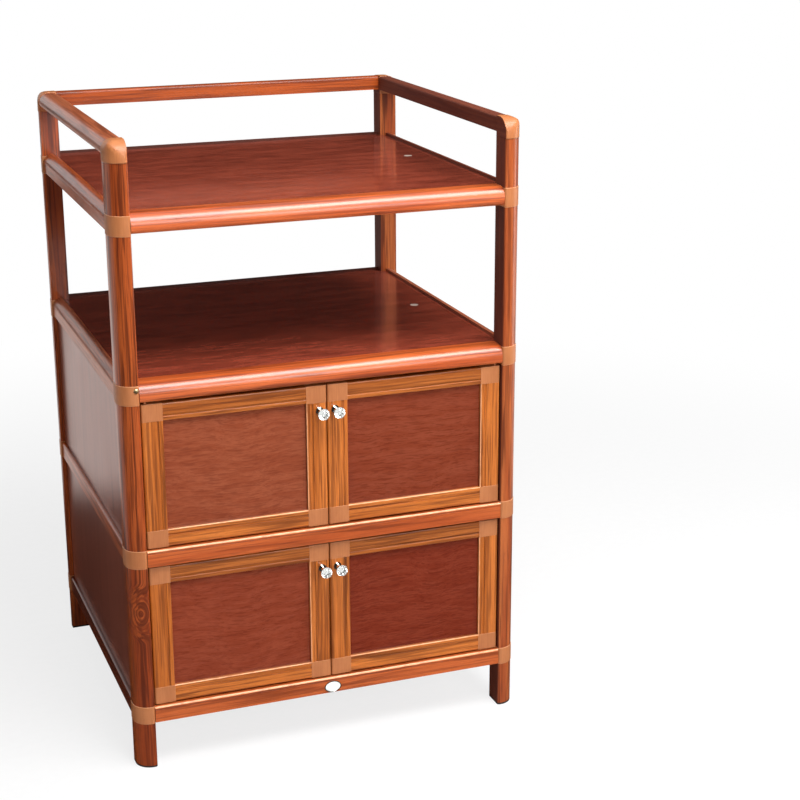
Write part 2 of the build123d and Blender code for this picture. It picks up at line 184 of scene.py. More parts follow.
# How much closer the grain lies round a knot than elsewhere
KNOT_CLOSENESS = 1.5


def make_wood_grain():
    tree, entry, out = shader_group(
        "wood grain",
        {
            "Vector": (0.0, 0.0, 0.0),
            "Pale": colour(0.6, 0.3, 0.1),
            "Main": colour(0.4, 0.2, 0.1),
            "Dark": colour(0.1, 0.05, 0.02),
            "Streaks": 1.0,
            "Lines": 0.5,
            "Knot": (0.0, 0.0, 0.0),
            "Knot Reach": 0.0001,
        },
        {"Color": "Color", "Height": "Float"},
    )
    vector = entry["Vector"]
    # Round a knot the grain follows the distance from it instead of the distance across the bar
    offset = add(tree, "VectorMath", {0: vector, 1: entry["Knot"]}, operation="SUBTRACT").outputs[0]
    flat = scaled(tree, offset, (KNOT_SQUEEZE, 1.0, 0.0))
    distance = add(tree, "VectorMath", {0: flat}, operation="LENGTH").outputs["Value"]
    near = math_node(tree, "DIVIDE", distance, entry["Knot Reach"])
    pull = spread(tree, near, 1.0, 0.3)
    across = add(tree, "SeparateXYZ", {0: offset}).outputs["Y"]
    round_knot = math_node(tree, "SUBTRACT", math_node(tree, "MULTIPLY", distance, KNOT_CLOSENESS), across)
    shift = add(tree, "CombineXYZ", {"Y": math_node(tree, "MULTIPLY", round_knot, pull)}).outputs[0]
    bent = add(tree, "VectorMath", {0: vector, 1: shift}, operation="ADD").outputs[0]

    # From broad bands to fine pores
    broad = noise(tree, bent, (1.5, 30.0, 30.0), 2.0)
    streaks = noise(tree, bent, (3.5, 105.0, 105.0), 2.0, 0.6, 0.35)
    threads = noise(tree, bent, (6.0, 270.0, 270.0), 1.0, 0.6)
    lines = noise(tree, bent, (9.0, 620.0, 620.0), 2.0, 0.6)
    pores = noise(tree, bent, (70.0, 1500.0, 1500.0), 1.0)

    light = spread(tree, broad, 0.38, 0.62)
    vein = spread(tree, streaks, 0.50, 0.36)
    thread = spread(tree, threads, 0.50, 0.36)
    line = spread(tree, lines, 0.54, 0.36)
    pore = spread(tree, pores, 0.60, 0.72)
    base = blend_colour(tree, light, entry["Main"], entry["Pale"])
    # Rings round the knot, dark and pale by turns
    stray = math_node(tree, "MULTIPLY", noise(tree, vector, (60.0, 60.0, 60.0), 2.0), RING_STRAY)
    turns = math_node(tree, "ADD", math_node(tree, "MULTIPLY", distance, 2 * math.pi / KNOT_RING), stray)
    swell = math_node(tree, "SINE", turns)
    around_knot = math_node(tree, "POWER", pull, 1.5)
    ring = math_node(tree, "MULTIPLY", spread(tree, swell, 0.0, 1.0, 0.0, 0.95), around_knot)
    pale_ring = math_node(tree, "MULTIPLY", spread(tree, swell, -0.1, -0.9), around_knot)
    base = blend_colour(tree, pale_ring, base, entry["Pale"])
    shade = math_node(tree, "MULTIPLY", math_node(tree, "MAXIMUM", vein, ring), entry["Streaks"])
    for thin, share in ((thread, 1.0), (line, 0.6), (pore, 0.7)):
        weight = math_node(tree, "MULTIPLY", entry["Lines"], share)
        shade = math_node(tree, "MAXIMUM", shade, math_node(tree, "MULTIPLY", thin, weight))
    tree.links.new(blend_colour(tree, shade, base, entry["Dark"]), out.inputs["Color"])
    height = math_node(tree, "SUBTRACT", 1.0, math_node(tree, "MAXIMUM", line, pore))
    tree.links.new(height, out.inputs["Height"])
    return tree


# Smears and faint scuffs that vary a polished surface's gloss

def make_handling():
    tree, entry, out = shader_group(
        "handling",
        {"Vector": (0.0, 0.0, 0.0), "Roughness": 0.3, "Amount": 0.1},
        {"Roughness": "Float"},
    )
    smears = noise(tree, entry["Vector"], (9.0, 9.0, 9.0), 3.0)
    scuffs = noise(tree, entry["Vector"], (45.0, 45.0, 45.0), 2.0)
    both = weighted_sum(tree, smears, 0.7, scuffs, 0.3)
    swing = math_node(tree, "MULTIPLY", math_node(tree, "SUBTRACT", both, 0.5), entry["Amount"])
    total = math_node(tree, "ADD", entry["Roughness"], math_node(tree, "MULTIPLY", swing, 2.0))
    tree.links.new(total, out.inputs["Roughness"])
    return tree


# The skin of a moulded piece: flow marks, fine texture and paler edges, partly wear and partly painted
# highlight

def make_moulded_skin():
    tree, entry, out = shader_group(
        "moulded skin",
        {
            "Vector": (0.0, 0.0, 0.0),
            "Main": colour(0.5, 0.25, 0.1),
            "Shade": colour(0.4, 0.2, 0.08),
            "Edge": colour(0.7, 0.4, 0.2),
            "Wear And Highlight": 0.0,
        },
        {"Color": "Color", "Height": "Float"},
    )
    flow = noise(tree, entry["Vector"], (30.0, 30.0, 12.0), 3.0, 0.6, 0.4)
    ribs = noise(tree, entry["Vector"], (620.0, 620.0, 25.0), 1.0)
    grit = noise(tree, entry["Vector"], (1400.0, 1400.0, 1400.0), 2.0)
    tone = weighted_sum(tree, flow, 0.65, ribs, 0.35)
    skin = blend_colour(tree, spread(tree, tone, 0.36, 0.64), entry["Shade"], entry["Main"])
    patchy = spread(tree, grit, 0.30, 0.60)
    # Paler edges, partly wear and partly painted highlight
    wear_and_highlight = math_node(tree, "MULTIPLY", entry["Wear And Highlight"], patchy)
    tree.links.new(blend_colour(tree, wear_and_highlight, skin, entry["Edge"]), out.inputs["Color"])
    rough = weighted_sum(tree, grit, 0.5, ribs, 0.5)
    tree.links.new(rough, out.inputs["Height"])
    return tree


wood_grain = make_wood_grain()
handling = make_handling()
moulded_skin = make_moulded_skin()


# Materials

# Turns that bring the grain along each axis
GRAIN_TURN = {
    "x": (0.0, 0.0, 0.0),
    "y": (0.0, 0.0, math.radians(-90)),
    "z": (math.radians(90), 0.0, math.radians(90)),
}


def new_material(name, **shader_values):
    """A material with its Principled shader. Values are set on the shader's own sockets."""
    made = bpy.data.materials.new(name)
    made.use_nodes = True
    shader = made.node_tree.nodes["Principled BSDF"]
    for key, value in shader_values.items():
        shader.inputs[key.replace("_", " ").title().replace("Ior", "IOR")].default_value = value
    return made, made.node_tree, shader


def bump_onto(tree, shader, height, strength, depth):
    bump = add(tree, "Bump", {"Height": height, "Strength": strength, "Distance": depth})
    tree.links.new(bump.outputs["Normal"], shader.inputs["Normal"])


def object_place(tree):
    return add(tree, "TexCoord").outputs["Object"]


# Painted highlight: the paler film colour given to a bar's rounded edges where they face the light
PAINTED_HIGHLIGHT_FILM = colour(0.86, 0.40, 0.20)
# Painted shade: the doors' upper rails are darkened towards the dark film colour, as in the shadow under the
# noses
SHADED_SHARE = 0.30
# The clear coat and the blur of duller film, on the right one of a pair of rails and on inner faces
DULL_COAT = 0.04
DULL_BLUR = 0.75
# X between which the film of a pair of rails turns duller and gets painted shade, darker on the right
RIGHT_TURN = (-0.25, 0.25)
# Painted shade: how much darker an inner face is, and how far round the edge that reaches
INNER_SHADE = 0.85
INNER_EDGE = 2 * MM
# The relief of the grain in the film
GRAIN_BUMP = 0.25
GRAIN_DEPTH = 0.15 * MM


def film(
    name,
    along,
    pale,
    main,
    dark,
    streaks,
    lines,
    roughness,
    coat,
    haze=0.08,
    coat_ior=1.5,
    knot=None,
    right_shade=None,
    inner_face=None,
):
    """Wood-grain film on a metal bar, under a clear coat whose blur is its haze.

    A knot is given by its place and reach. The right one of a pair can be duller and get painted shade, or
    else only a bar's inner face, given by its axis and place. A piece's attributes mark the edges that get a
    painted highlight and the parts that get painted shade.
    """
    made, tree, shader = new_material(
        name, coat_weight=coat, coat_roughness=haze, coat_ior=coat_ior, specular_ior_level=0.3
    )
    place = object_place(tree)
    turned = add(tree, "Mapping", {"Vector": place, "Rotation": GRAIN_TURN[along]}).outputs[0]
    values = {"Vector": turned, "Pale": pale, "Main": main, "Dark": dark, "Streaks": streaks, "Lines": lines}
    if knot:
        knot_place, knot_reach = knot
        centre = add(tree, "Mapping", {"Vector": knot_place, "Rotation": GRAIN_TURN[along]})
        values["Knot"] = centre.outputs[0]
        values["Knot Reach"] = knot_reach
    grain = place_group(tree, wood_grain, values)
    gloss = place_group(tree, handling, {"Vector": place, "Roughness": roughness, "Amount": 0.10})
    base = grain["Color"]
    blur = gloss["Roughness"]
    # Painted shade: the right one of a pair, or an inner face, is blended towards the dark film colour
    if right_shade or inner_face:
        parts = add(tree, "SeparateXYZ", {0: place}).outputs
        if right_shade:
            duller = spread(tree, parts["X"], *RIGHT_TURN)
            darker = math_node(tree, "MULTIPLY", duller, right_shade)
        else:
            axis, inner = inner_face
            duller = spread(tree, parts[axis], inner + INNER_EDGE, inner + INNER_EDGE / 4)
            darker = math_node(tree, "MULTIPLY", duller, INNER_SHADE)
        base = blend_colour(tree, darker, base, dark)
        blur = blend_value(tree, duller, blur, DULL_BLUR)
        tree.links.new(blend_value(tree, duller, coat, DULL_COAT), shader.inputs["Coat Weight"])
    # Painted highlight on the edges that a piece marks, with a little wear
    wear_and_highlight = add(tree, "Attribute", attribute_name="wear_and_highlight").outputs["Fac"]
    patchy = spread(tree, noise(tree, place, (45.0, 45.0, 45.0), 2.0), 0.25, 0.55, 0.45, 0.95)
    base = blend_colour(tree, math_node(tree, "MULTIPLY", wear_and_highlight, patchy), base, PAINTED_HIGHLIGHT_FILM)
    # Painted shade where a piece is marked as shaded
    shaded = add(tree, "Attribute", attribute_name="shaded").outputs["Fac"]
    base = blend_colour(tree, math_node(tree, "MULTIPLY", shaded, SHADED_SHARE), base, dark)
    tree.links.new(base, shader.inputs["Base Color"])
    tree.links.new(blur, shader.inputs["Roughness"])
    bump_onto(tree, shader, grain["Height"], GRAIN_BUMP, GRAIN_DEPTH)
    return made


# The print on glass has shorter grain than the film on the bars, fine on the doors and broad on the shelves
DOOR_GRAIN = (8.0, 3.0, 3.0)
SHELF_GRAIN = (4.0, 1.1, 1.1)
# The grain of the wall panels is broad and faint
WALL_GRAIN = (0.8, 0.55, 0.55)
# How far the print's lines wander across
PRINT_WAVE = 36 * MM
# Half sizes of an etched oval, and the frost on it
OVAL_HALF = (9.5 * MM, 10 * MM)
FROST = colour(0.80, 0.70, 0.60)
FROST_SHARE = 0.9


def printed_glass(name, pale, main, dark, fineness, streaks, lines, haze, etched=None):
    """Glass over a wood-grain print that runs along X, with an etched oval if a place is given."""
    made, tree, shader = new_material(name, coat_weight=0.7, coat_roughness=haze, specular_ior_level=0.15)
    place = object_place(tree)
    wave = math_node(tree, "SUBTRACT", noise(tree, place, (7.0, 4.0, 4.0), 1.0), 0.5)
    lift = math_node(tree, "MULTIPLY", wave, PRINT_WAVE)
    shift = add(tree, "CombineXYZ", {"Y": lift, "Z": lift}).outputs[0]
    waved = add(tree, "VectorMath", {0: place, 1: shift}, operation="ADD").outputs[0]
    values = {
        "Vector": scaled(tree, waved, fineness),
        "Pale": pale,
        "Main": main,
        "Dark": dark,
        "Streaks": streaks,
        "Lines": lines,
    }
    grain = place_group(tree, wood_grain, values)
    base = grain["Color"]
    if etched:
        offset = add(tree, "VectorMath", {0: place, 1: etched}, operation="SUBTRACT").outputs[0]
        oval = scaled(tree, offset, (1 / OVAL_HALF[0], 1 / OVAL_HALF[1], 0.0))
        edge = add(tree, "VectorMath", {0: oval}, operation="LENGTH").outputs["Value"]
        frost = math_node(tree, "MULTIPLY", spread(tree, edge, 1.1, 0.9), FROST_SHARE)
        base = blend_colour(tree, frost, base, FROST)
    gloss = place_group(tree, handling, {"Vector": place, "Roughness": 0.22, "Amount": 0.10})
    tree.links.new(base, shader.inputs["Base Color"])
    tree.links.new(gloss["Roughness"], shader.inputs["Roughness"])
    return made


def dark_glass(name):
    """Polished red-brown wall panels with a faint grain under the polish."""
    made, tree, shader = new_material(name, coat_weight=0.54, coat_roughness=0.28, specular_ior_level=0.05)
    place = object_place(tree)
    turned = add(tree, "Mapping", {"Vector": place, "Rotation": GRAIN_TURN["z"]}).outputs[0]
    values = {
        "Vector": scaled(tree, turned, WALL_GRAIN),
        "Pale": colour(0.265, 0.073, 0.043),
        "Main": colour(0.225, 0.060, 0.035),
        "Dark": colour(0.145, 0.038, 0.022),
        "Streaks": 0.5,
        "Lines": 0.3,
    }
    grain = place_group(tree, wood_grain, values)
    gloss = place_group(tree, handling, {"Vector": place, "Roughness": 0.20, "Amount": 0.12})
    tree.links.new(grain["Color"], shader.inputs["Base Color"])
    tree.links.new(gloss["Roughness"], shader.inputs["Roughness"])
    return made


# The relief of a moulded skin
SKIN_BUMP = 0.35


def moulded(name, main, shade, edge, roughness, depth):
    """Moulded plastic. An attribute of a piece marks its softened edges, which are paler, partly wear and
    partly painted highlight.
    """
    made, tree, shader = new_material(name, specular_ior_level=0.45)
    place = object_place(tree)
    wear_and_highlight = add(tree, "Attribute", attribute_name="wear_and_highlight").outputs["Fac"]
    skin = place_group(
        tree, moulded_skin, {"Vector": place, "Main": main, "Shade": shade, "Edge": edge, "Wear And Highlight": wear_and_highlight}
    )
    gloss = place_group(tree, handling, {"Vector": place, "Roughness": roughness, "Amount": 0.12})
    tree.links.new(skin["Color"], shader.inputs["Base Color"])
    tree.links.new(gloss["Roughness"], shader.inputs["Roughness"])
    bump_onto(tree, shader, skin["Height"], SKIN_BUMP, depth)
    return made


def plated(name, main, tarnish, roughness):
    """Plated metal with a little tarnish."""
    made, tree, shader = new_material(name, metallic=1.0)
    place = object_place(tree)
    stain = spread(tree, noise(tree, place, (220.0, 220.0, 220.0), 3.0), 0.40, 0.66)
    tree.links.new(blend_colour(tree, stain, main, tarnish), shader.inputs["Base Color"])
    gloss = place_group(tree, handling, {"Vector": place, "Roughness": roughness, "Amount": 0.10})
    tree.links.new(gloss["Roughness"], shader.inputs["Roughness"])
    return made


def enamel(name, main, shade):
    """Glossy pale enamel with a faint mottle."""
    made, tree, shader = new_material(name, coat_weight=0.6, coat_roughness=0.05)
    place = object_place(tree)
    mottle = spread(tree, noise(tree, place, (260.0, 260.0, 260.0), 3.0), 0.38, 0.64)
    tree.links.new(blend_colour(tree, mottle, main, shade), shader.inputs["Base Color"])
    gloss = place_group(tree, handling, {"Vector": place, "Roughness": 0.25, "Amount": 0.08})
    tree.links.new(gloss["Roughness"], shader.inputs["Roughness"])
    return made


def cut_glass(name):
    """Clear crystal with faint smears on its facets."""
    made, tree, shader = new_material(name, transmission_weight=1.0, ior=1.54)
    place = object_place(tree)
    tint = spread(tree, noise(tree, place, (90.0, 90.0, 90.0), 2.0), 0.40, 0.60)
    clear = blend_colour(tree, tint, colour(0.97, 0.985, 0.975), colour(0.93, 0.96, 0.95))
    tree.links.new(clear, shader.inputs["Base Color"])
    gloss = place_group(tree, handling, {"Vector": place, "Roughness": 0.02, "Amount": 0.02})
    tree.links.new(gloss["Roughness"], shader.inputs["Roughness"])
    return made


# The knot on the film of the front left post: its place on the front face, and its reach
POST_KNOT = ((-0.421, front_face, 0.363), 0.040)

LEFT_POST = {
    "pale": colour(0.42, 0.082, 0.014),
    "main": colour(0.29, 0.046, 0.008),
    "dark": colour(0.070, 0.010, 0.003),
}
RIGHT_POST = {
    "pale": colour(0.50, 0.132, 0.032),
    "main": colour(0.34, 0.066, 0.014),
    "dark": colour(0.090, 0.015, 0.005),
}
RAIL = {
    "pale": colour(0.52, 0.110, 0.024),
    "main": colour(0.41, 0.076, 0.015),
    "dark": colour(0.11, 0.017, 0.005),
}
# Painted sheen: a paler, pinker copy of the rail film, for the guard and countertop side rails
SHEENED_RAIL = {
    "pale": colour(0.56, 0.170, 0.075),
    "main": colour(0.45, 0.120, 0.048),
    "dark": colour(0.085, 0.011, 0.003),
}
GUARD_REAR = {
    "pale": colour(0.42, 0.078, 0.010),
    "main": colour(0.33, 0.054, 0.006),
    "dark": colour(0.10, 0.014, 0.003),
}
# Painted shade: a darker copy of the rail film, for the rear rails and the base side rails
SHADED_RAIL = {
    "pale": colour(0.22, 0.040, 0.012),
    "main": colour(0.15, 0.026, 0.009),
    "dark": colour(0.05, 0.009, 0.004),
}
NOSE = {
    "pale": colour(0.61, 0.128, 0.027),
    "main": colour(0.49, 0.082, 0.013),
    "dark": colour(0.15, 0.021, 0.006),
}
DOOR_BAR = {
    "pale": colour(0.58, 0.165, 0.026),
    "main": colour(0.43, 0.108, 0.012),
    "dark": colour(0.12, 0.024, 0.004),
}
DOOR_PRINT = {
    "pale": (0.345, 0.074, 0.032),
    "main": (0.300, 0.057, 0.023),
    "dark": (0.145, 0.022, 0.010),
}
SHELF_PRINT = {
    "pale": colour(0.34, 0.062, 0.032),
    "main": colour(0.25, 0.042, 0.021),
    "dark": colour(0.11, 0.017, 0.009),
}
# How strong the print of each door's panel is, in its red and in its other colours. The four panels share
# one print;
# these shares paint the light, shade and reflections that differ from door to door
PRINT_SHADING = {
    "upper_left_door": (0.82, 0.95),
    "upper_right_door": (0.66, 0.64),
    "lower_left_door": (0.71, 0.66),
    "lower_right_door": (0.56, 0.42),
}

left_post_film = film(
    "left post film", "z", **LEFT_POST, streaks=0.8, lines=0.6, roughness=0.32, coat=0.45, knot=POST_KNOT
)
rear_left_post_film = film(
    "rear left post film", "z", **LEFT_POST, streaks=0.8, lines=0.6, roughness=0.36, coat=0.12
)
# Painted shade on the inner faces of the right posts
right_post_film = film(
    "right post film",
    "z",
    **RIGHT_POST,
    streaks=0.8,
    lines=0.6,
    roughness=0.36,
    coat=0.22,
    inner_face=("X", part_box("front_right_post")[0].x),
)
rail_film = film("rail film", "x", **RAIL, streaks=0.6, lines=0.45, roughness=0.32, coat=0.6)
# Painted shade on the side rails to the right
side_rail_film = film(
    "side rail film", "y", **RAIL, streaks=0.7, lines=0.5, roughness=0.34, coat=0.32, right_shade=0.88
)
countertop_side_film = film(
    "countertop side film",
    "y",
    **SHEENED_RAIL,
    streaks=0.7,
    lines=0.5,
    roughness=0.36,
    coat=0.2,
    right_shade=0.15,
)
# The base side rails take the darker copy of the rail film, painted shade
base_side_film = film("base side film", "y", **SHADED_RAIL, streaks=0.6, lines=0.45, roughness=0.34, coat=0.3)
# The inner face of a rear rail that shows is the lip behind the panel, which gets painted shade
rear_rail_film = film(
    "rear rail film",
    "x",
    **SHADED_RAIL,
    streaks=0.6,
    lines=0.45,
    roughness=0.32,
    coat=0.3,
    inner_face=("Y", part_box("countertop_panel")[1].y),
)
nose_film = film(
    "nose film", "x", **NOSE, streaks=0.7, lines=0.5, roughness=0.36, coat=0.7, haze=0.28, coat_ior=1.6
)
guard_rear_film = film(
    "guard rear film", "x", **GUARD_REAR, streaks=0.7, lines=0.5, roughness=0.36, coat=0.12
)
guard_side_film = film(
    "guard side film",
    "y",
    **SHEENED_RAIL,
    streaks=0.7,
    lines=0.5,
    roughness=0.36,
    coat=0.3,
    haze=0.12,
    right_shade=0.85,
)
door_film = {}
for along in "xz":
    door_film[along] = film(
        f"door bar film {along}", along, **DOOR_BAR, streaks=0.75, lines=0.6, roughness=0.36, coat=0.4
    )
door_print = {}
for door, (red_shading, tone) in PRINT_SHADING.items():
    shades = {}
    for key, (red, green, blue) in DOOR_PRINT.items():
        shades[key] = colour(red_shading * red, tone * green, tone * blue)
    door_print[door] = printed_glass(
        f"{door} print", **shades, fineness=DOOR_GRAIN, streaks=0.5, lines=0.35, haze=0.06
    )
# A bare etched oval near the rear right corner of each shelf, and none on the cupboards' floors
ETCHED_OVALS = {
    "countertop": (0.356, 0.0215, countertop_top),
    "upper_shelf": (0.359, 0.0675, upper_shelf_top),
    "plain": None,
}
shelf_print = {}
for level, oval in ETCHED_OVALS.items():
    shelf_print[level] = printed_glass(
        f"{level} shelf print",
        **SHELF_PRINT,
        fineness=SHELF_GRAIN,
        streaks=0.62,
        lines=0.4,
        haze=0.12,
        etched=oval,
    )
wall_glass = dark_glass("dark wall glass")
tan_plastic = moulded(
    "tan joint plastic",
    main=colour(0.46, 0.162, 0.054),
    shade=colour(0.39, 0.128, 0.040),
    edge=colour(0.74, 0.400, 0.220),
    roughness=0.42,
    depth=0.08 * MM,
)
black_plastic = moulded(
    "dark foot plastic",
    main=colour(0.040, 0.028, 0.022),
    shade=colour(0.022, 0.015, 0.012),
    edge=colour(0.090, 0.070, 0.060),
    roughness=0.55,
    depth=0.12 * MM,
)
catch_plastic = moulded(
    "brown catch plastic",
    main=colour(0.085, 0.045, 0.026),
    shade=colour(0.060, 0.030, 0.018),
    edge=colour(0.160, 0.100, 0.070),
    roughness=0.5,
    depth=0.10 * MM,
)
bright_plating = plated(
    "bright plating", main=colour(0.93, 0.93, 0.92), tarnish=colour(0.80, 0.81, 0.80), roughness=0.08
)
brass = plated("brass", main=colour(0.90, 0.72, 0.40), tarnish=colour(0.70, 0.50, 0.24), roughness=0.40)
badge_enamel = enamel("badge enamel", main=colour(0.86, 0.86, 0.83), shade=colour(0.76, 0.77, 0.75))
badge_rim = plated(
    "badge rim", main=colour(0.52, 0.51, 0.48), tarnish=colour(0.30, 0.29, 0.27), roughness=0.25
)
crystal_glass = cut_glass("cut crystal")


# Finishes of the frame's own pieces, apart from those that new pieces replace

def finish(node, material):
    """Gives a piece of the frame its material."""
    slots = nodes[node].data.materials
    slots.clear()
    slots.append(material)


finish("front_left_post", left_post_film)
finish("rear_left_post", rear_left_post_film)
for end in ("front", "rear"):
    finish(f"{end}_right_post", right_post_film)
# Levels whose rails have a film of their own
own_side_film = {"base": base_side_film, "countertop": countertop_side_film, "guard": guard_side_film}
own_rear_film = {"guard": guard_rear_film}
for level in LEVELS:
    finish(f"{level}_side_rails", own_side_film.get(level, side_rail_film))
    finish(f"{level}_rear_rail", own_rear_film.get(level, rear_rail_film))
for level in ("countertop", "upper_shelf"):
    finish(f"{level}_front_rail", nose_film)
    finish(f"{level}_panel", shelf_print[level])
for floor_node in ("base_panel", "middle_shelf_panel"):
    finish(floor_node, shelf_print["plain"])
for wall in ("left_side_panels", "right_side_panels", "back_panels"):
    finish(wall, wall_glass)
for door in DOORS:
    finish(f"{door}_panel", door_print[door])
    finish(f"{door}_knob_base_and_strike", bright_plating)
finish("foot_caps", black_plastic)
finish("door_catches", catch_plastic)


# New pieces

# Points closer than this are one, and faces that meet at less than this angle are one
MERGE = 0.001 * MM
FLAT = math.radians(0.5)
# An edge is sharp when its faces turn by more than this
SHARP_EDGE = math.radians(30)


def copied(node):
    """A frame piece's mesh with its triangles joined up again."""
    shape = bmesh.new()
    shape.from_mesh(nodes[node].data)
    bmesh.ops.remove_doubles(shape, verts=shape.verts, dist=MERGE)
    bmesh.ops.dissolve_limit(shape, angle_limit=FLAT, verts=shape.verts, edges=shape.edges)
    return shape


def new_piece(name, shape, materials, body, sharp_angle=20):
    """Makes an object of a bmesh, smooth up to an angle in degrees, riding on a body."""
    mesh = bpy.data.meshes.new(name)
    shape.to_mesh(mesh)
    shape.free()
    for material in materials:
        mesh.materials.append(material)
    mesh.shade_smooth()
    mesh.set_sharp_from_angle(angle=math.radians(sharp_angle))
    piece = bpy.data.objects.new(name, mesh)
    bpy.context.scene.collection.objects.link(piece)
    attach(piece, body)
    return piece


def soften(shape, width):
    """Rounds the sharp edges and marks the middle of each rounding as paler, partly wear and partly painted
    highlight.
    """
    sharp = [e for e in shape.edges if e.is_manifold and e.calc_face_angle() > SHARP_EDGE]
    rounded = bmesh.ops.bevel(
        shape,
        geom=sharp,
        offset=width,
        offset_type="OFFSET",
        affect="EDGES",
        segments=2,
        profile=0.5,
        material=-1,
        clamp_overlap=False,
    )
    strips = set(rounded["faces"])
    wear_and_highlight = shape.verts.layers.float.new("wear_and_highlight")
    for vert in shape.verts:
        vert[wear_and_highlight] = float(all(face in strips for face in vert.link_faces))


JOINT_SOFTENING = 1.0 * MM
DOOR_JOINT_SOFTENING = 0.4 * MM
# Size of the facets that a guard joint is smoothed with, how often they are halved to reach it at most,
# and the height kept at the joint's lower rim
GUARD_FACET = 3.0 * MM
GUARD_HALVINGS = 6
GUARD_KEPT = 3.0 * MM
# How far a face looks outward, and how sharply it meets the next one, for their edge to be smoothed
OUTWARD = 0.1
GUARD_CREASE = math.radians(8)
# How many facets from an edge the smoothing reaches, and how often it is done, in three rounds
GUARD_ROUNDS = ((4, 6), (3, 6), (2, 8))
# How squarely a face looks inward to count as the inner side of an elbow
INNER_SIDE = 0.8


def soft_joints(node, width):
    """Corner joints with softened edges in place of the sharp ones."""
    shape = copied(node)
    soften(shape, width)
    piece = new_piece(f"soft_{node}", shape, [tan_plastic], nodes[node]["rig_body"])
    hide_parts(node)


def rounded_guard_joints():
    """Guard joints whose outer corners flow round as on a moulded elbow."""
    node = "guard_corner_joints"
    shape = copied(node)
    for halving in range(GUARD_HALVINGS):
        bmesh.ops.triangulate(shape, faces=shape.faces)
        long = [e for e in shape.edges if e.calc_length() > GUARD_FACET]
        if long:
            bmesh.ops.subdivide_edges(shape, edges=long, cuts=1)
    bmesh.ops.triangulate(shape, faces=shape.faces)
    shape.normal_update()

    def outward(face):
        middle = face.calc_center_median()
        away = Vector((math.copysign(1, middle.x), math.copysign(1, middle.y), 1.0)).normalized()
        return face.normal.dot(away) > OUTWARD

    creases = set()
    for edge in shape.edges:
        if edge.is_manifold and edge.calc_face_angle() > GUARD_CREASE:
            if all(outward(face) for face in edge.link_faces):
                creases.update(edge.verts)
    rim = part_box(node)[0].z + GUARD_KEPT
    for reach, times in GUARD_ROUNDS:
        near = set(creases)
        for ring in range(reach):
            near.update(e.other_vert(v) for v in list(near) for e in v.link_edges)
        moving = [v for v in near if v.co.z > rim and all(outward(f) for f in v.link_faces)]
        for time in range(times):
            bmesh.ops.smooth_vert(
                shape, verts=moving, factor=0.5, use_axis_x=True, use_axis_y=True, use_axis_z=True
            )
    shape.normal_update()
    # The film of the side rails runs on over the inner sides of the elbows, with its painted shade on the
    # right
    for face in shape.faces:
        inward = -math.copysign(1, face.calc_center_median().x)
        face.material_index = int(face.normal.x * inward > INNER_SIDE)
    skins = [tan_plastic, guard_side_film]
    piece = new_piece("rounded_guard_joints", shape, skins, "cabinet", sharp_angle=35)
    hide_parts(node)


UP = Vector((0, 0, 1))
LEFT = Vector((-1, 0, 0))
# How squarely a face looks along a bar to count as its end
END_FACE = 0.9
# How far a face looks one way to count as turned that way
TURNED = 0.05


def highlit_bar(node, material, toward, ends, half=None):
    """A bar whose front roundings get a painted highlight where they face one way. The axis of its ends is
    given.

    Of a pair of bars, only the one on the half's side gets the painted highlight. Where that is the lower
    one, the upper one gets painted shade, as of the shadow under the nose.
    """
    shape = copied(node)
    low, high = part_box(node)
    middle = (low + high) / 2
    # The first layer is fetched again, because adding the second one moves it
    shape.verts.layers.float.new("shaded")
    wear_and_highlight = shape.verts.layers.float.new("wear_and_highlight")
    shaded = shape.verts.layers.float["shaded"]
    for vert in shape.verts:
        around = [face.normal for face in vert.link_faces if abs(face.normal.dot(ends)) < END_FACE]
        chosen = half is None or (vert.co - middle).dot(half) > 0
        vert[shaded] = float(half == -UP and not chosen)
        vert[wear_and_highlight] = float(chosen and all(n.dot(toward) > TURNED and n.y < -TURNED for n in around))
    piece = new_piece(f"highlit_{node}", shape, [material], nodes[node]["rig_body"])
    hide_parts(node)


# Painted highlights on the front rails and the door bars
for level in ("base", "middle"):
    highlit_bar(f"{level}_front_rail", rail_film, UP, LEFT)
for door in DOORS:
    highlit_bar(f"{door}_rails", door_film["x"], UP, LEFT, half=-UP)
    highlit_bar(f"{door}_stiles", door_film["z"], LEFT, UP, half=-LEFT)
for level in LEVELS[:-1]:
    soft_joints(f"{level}_corner_joints", JOINT_SOFTENING)
rounded_guard_joints()
for door in DOORS:
    soft_joints(f"{door}_corner_joints", DOOR_JOINT_SOFTENING)


# Crystal knobs: a brilliant cut stone with a silvered back, a hair clear of its neck

CRYSTAL_SIDES = 12
# Depth behind the front of the stone, radius, and turn in steps, each as a share
CRYSTAL_RINGS = (
    (0.00, 0.52, 0.0),
    (0.16, 0.82, 0.5),
    (0.40, 1.00, 0.0),
    (0.52, 1.00, 0.0),
    (0.78, 0.80, 0.5),
    (0.99, 0.50, 0.0),
)
# How far a facet looks to the rear to be silvered
SILVERED = 0.3


def facing_front(x, y, z, turn=0.0):
    """Place of a round thing whose axis points to the front."""
    spin = Matrix.Rotation(turn, 4, "Z")
    tip = Matrix.Rotation(math.radians(90), 4, "X")
    return Matrix.Translation((x, y, z)) @ tip @ spin


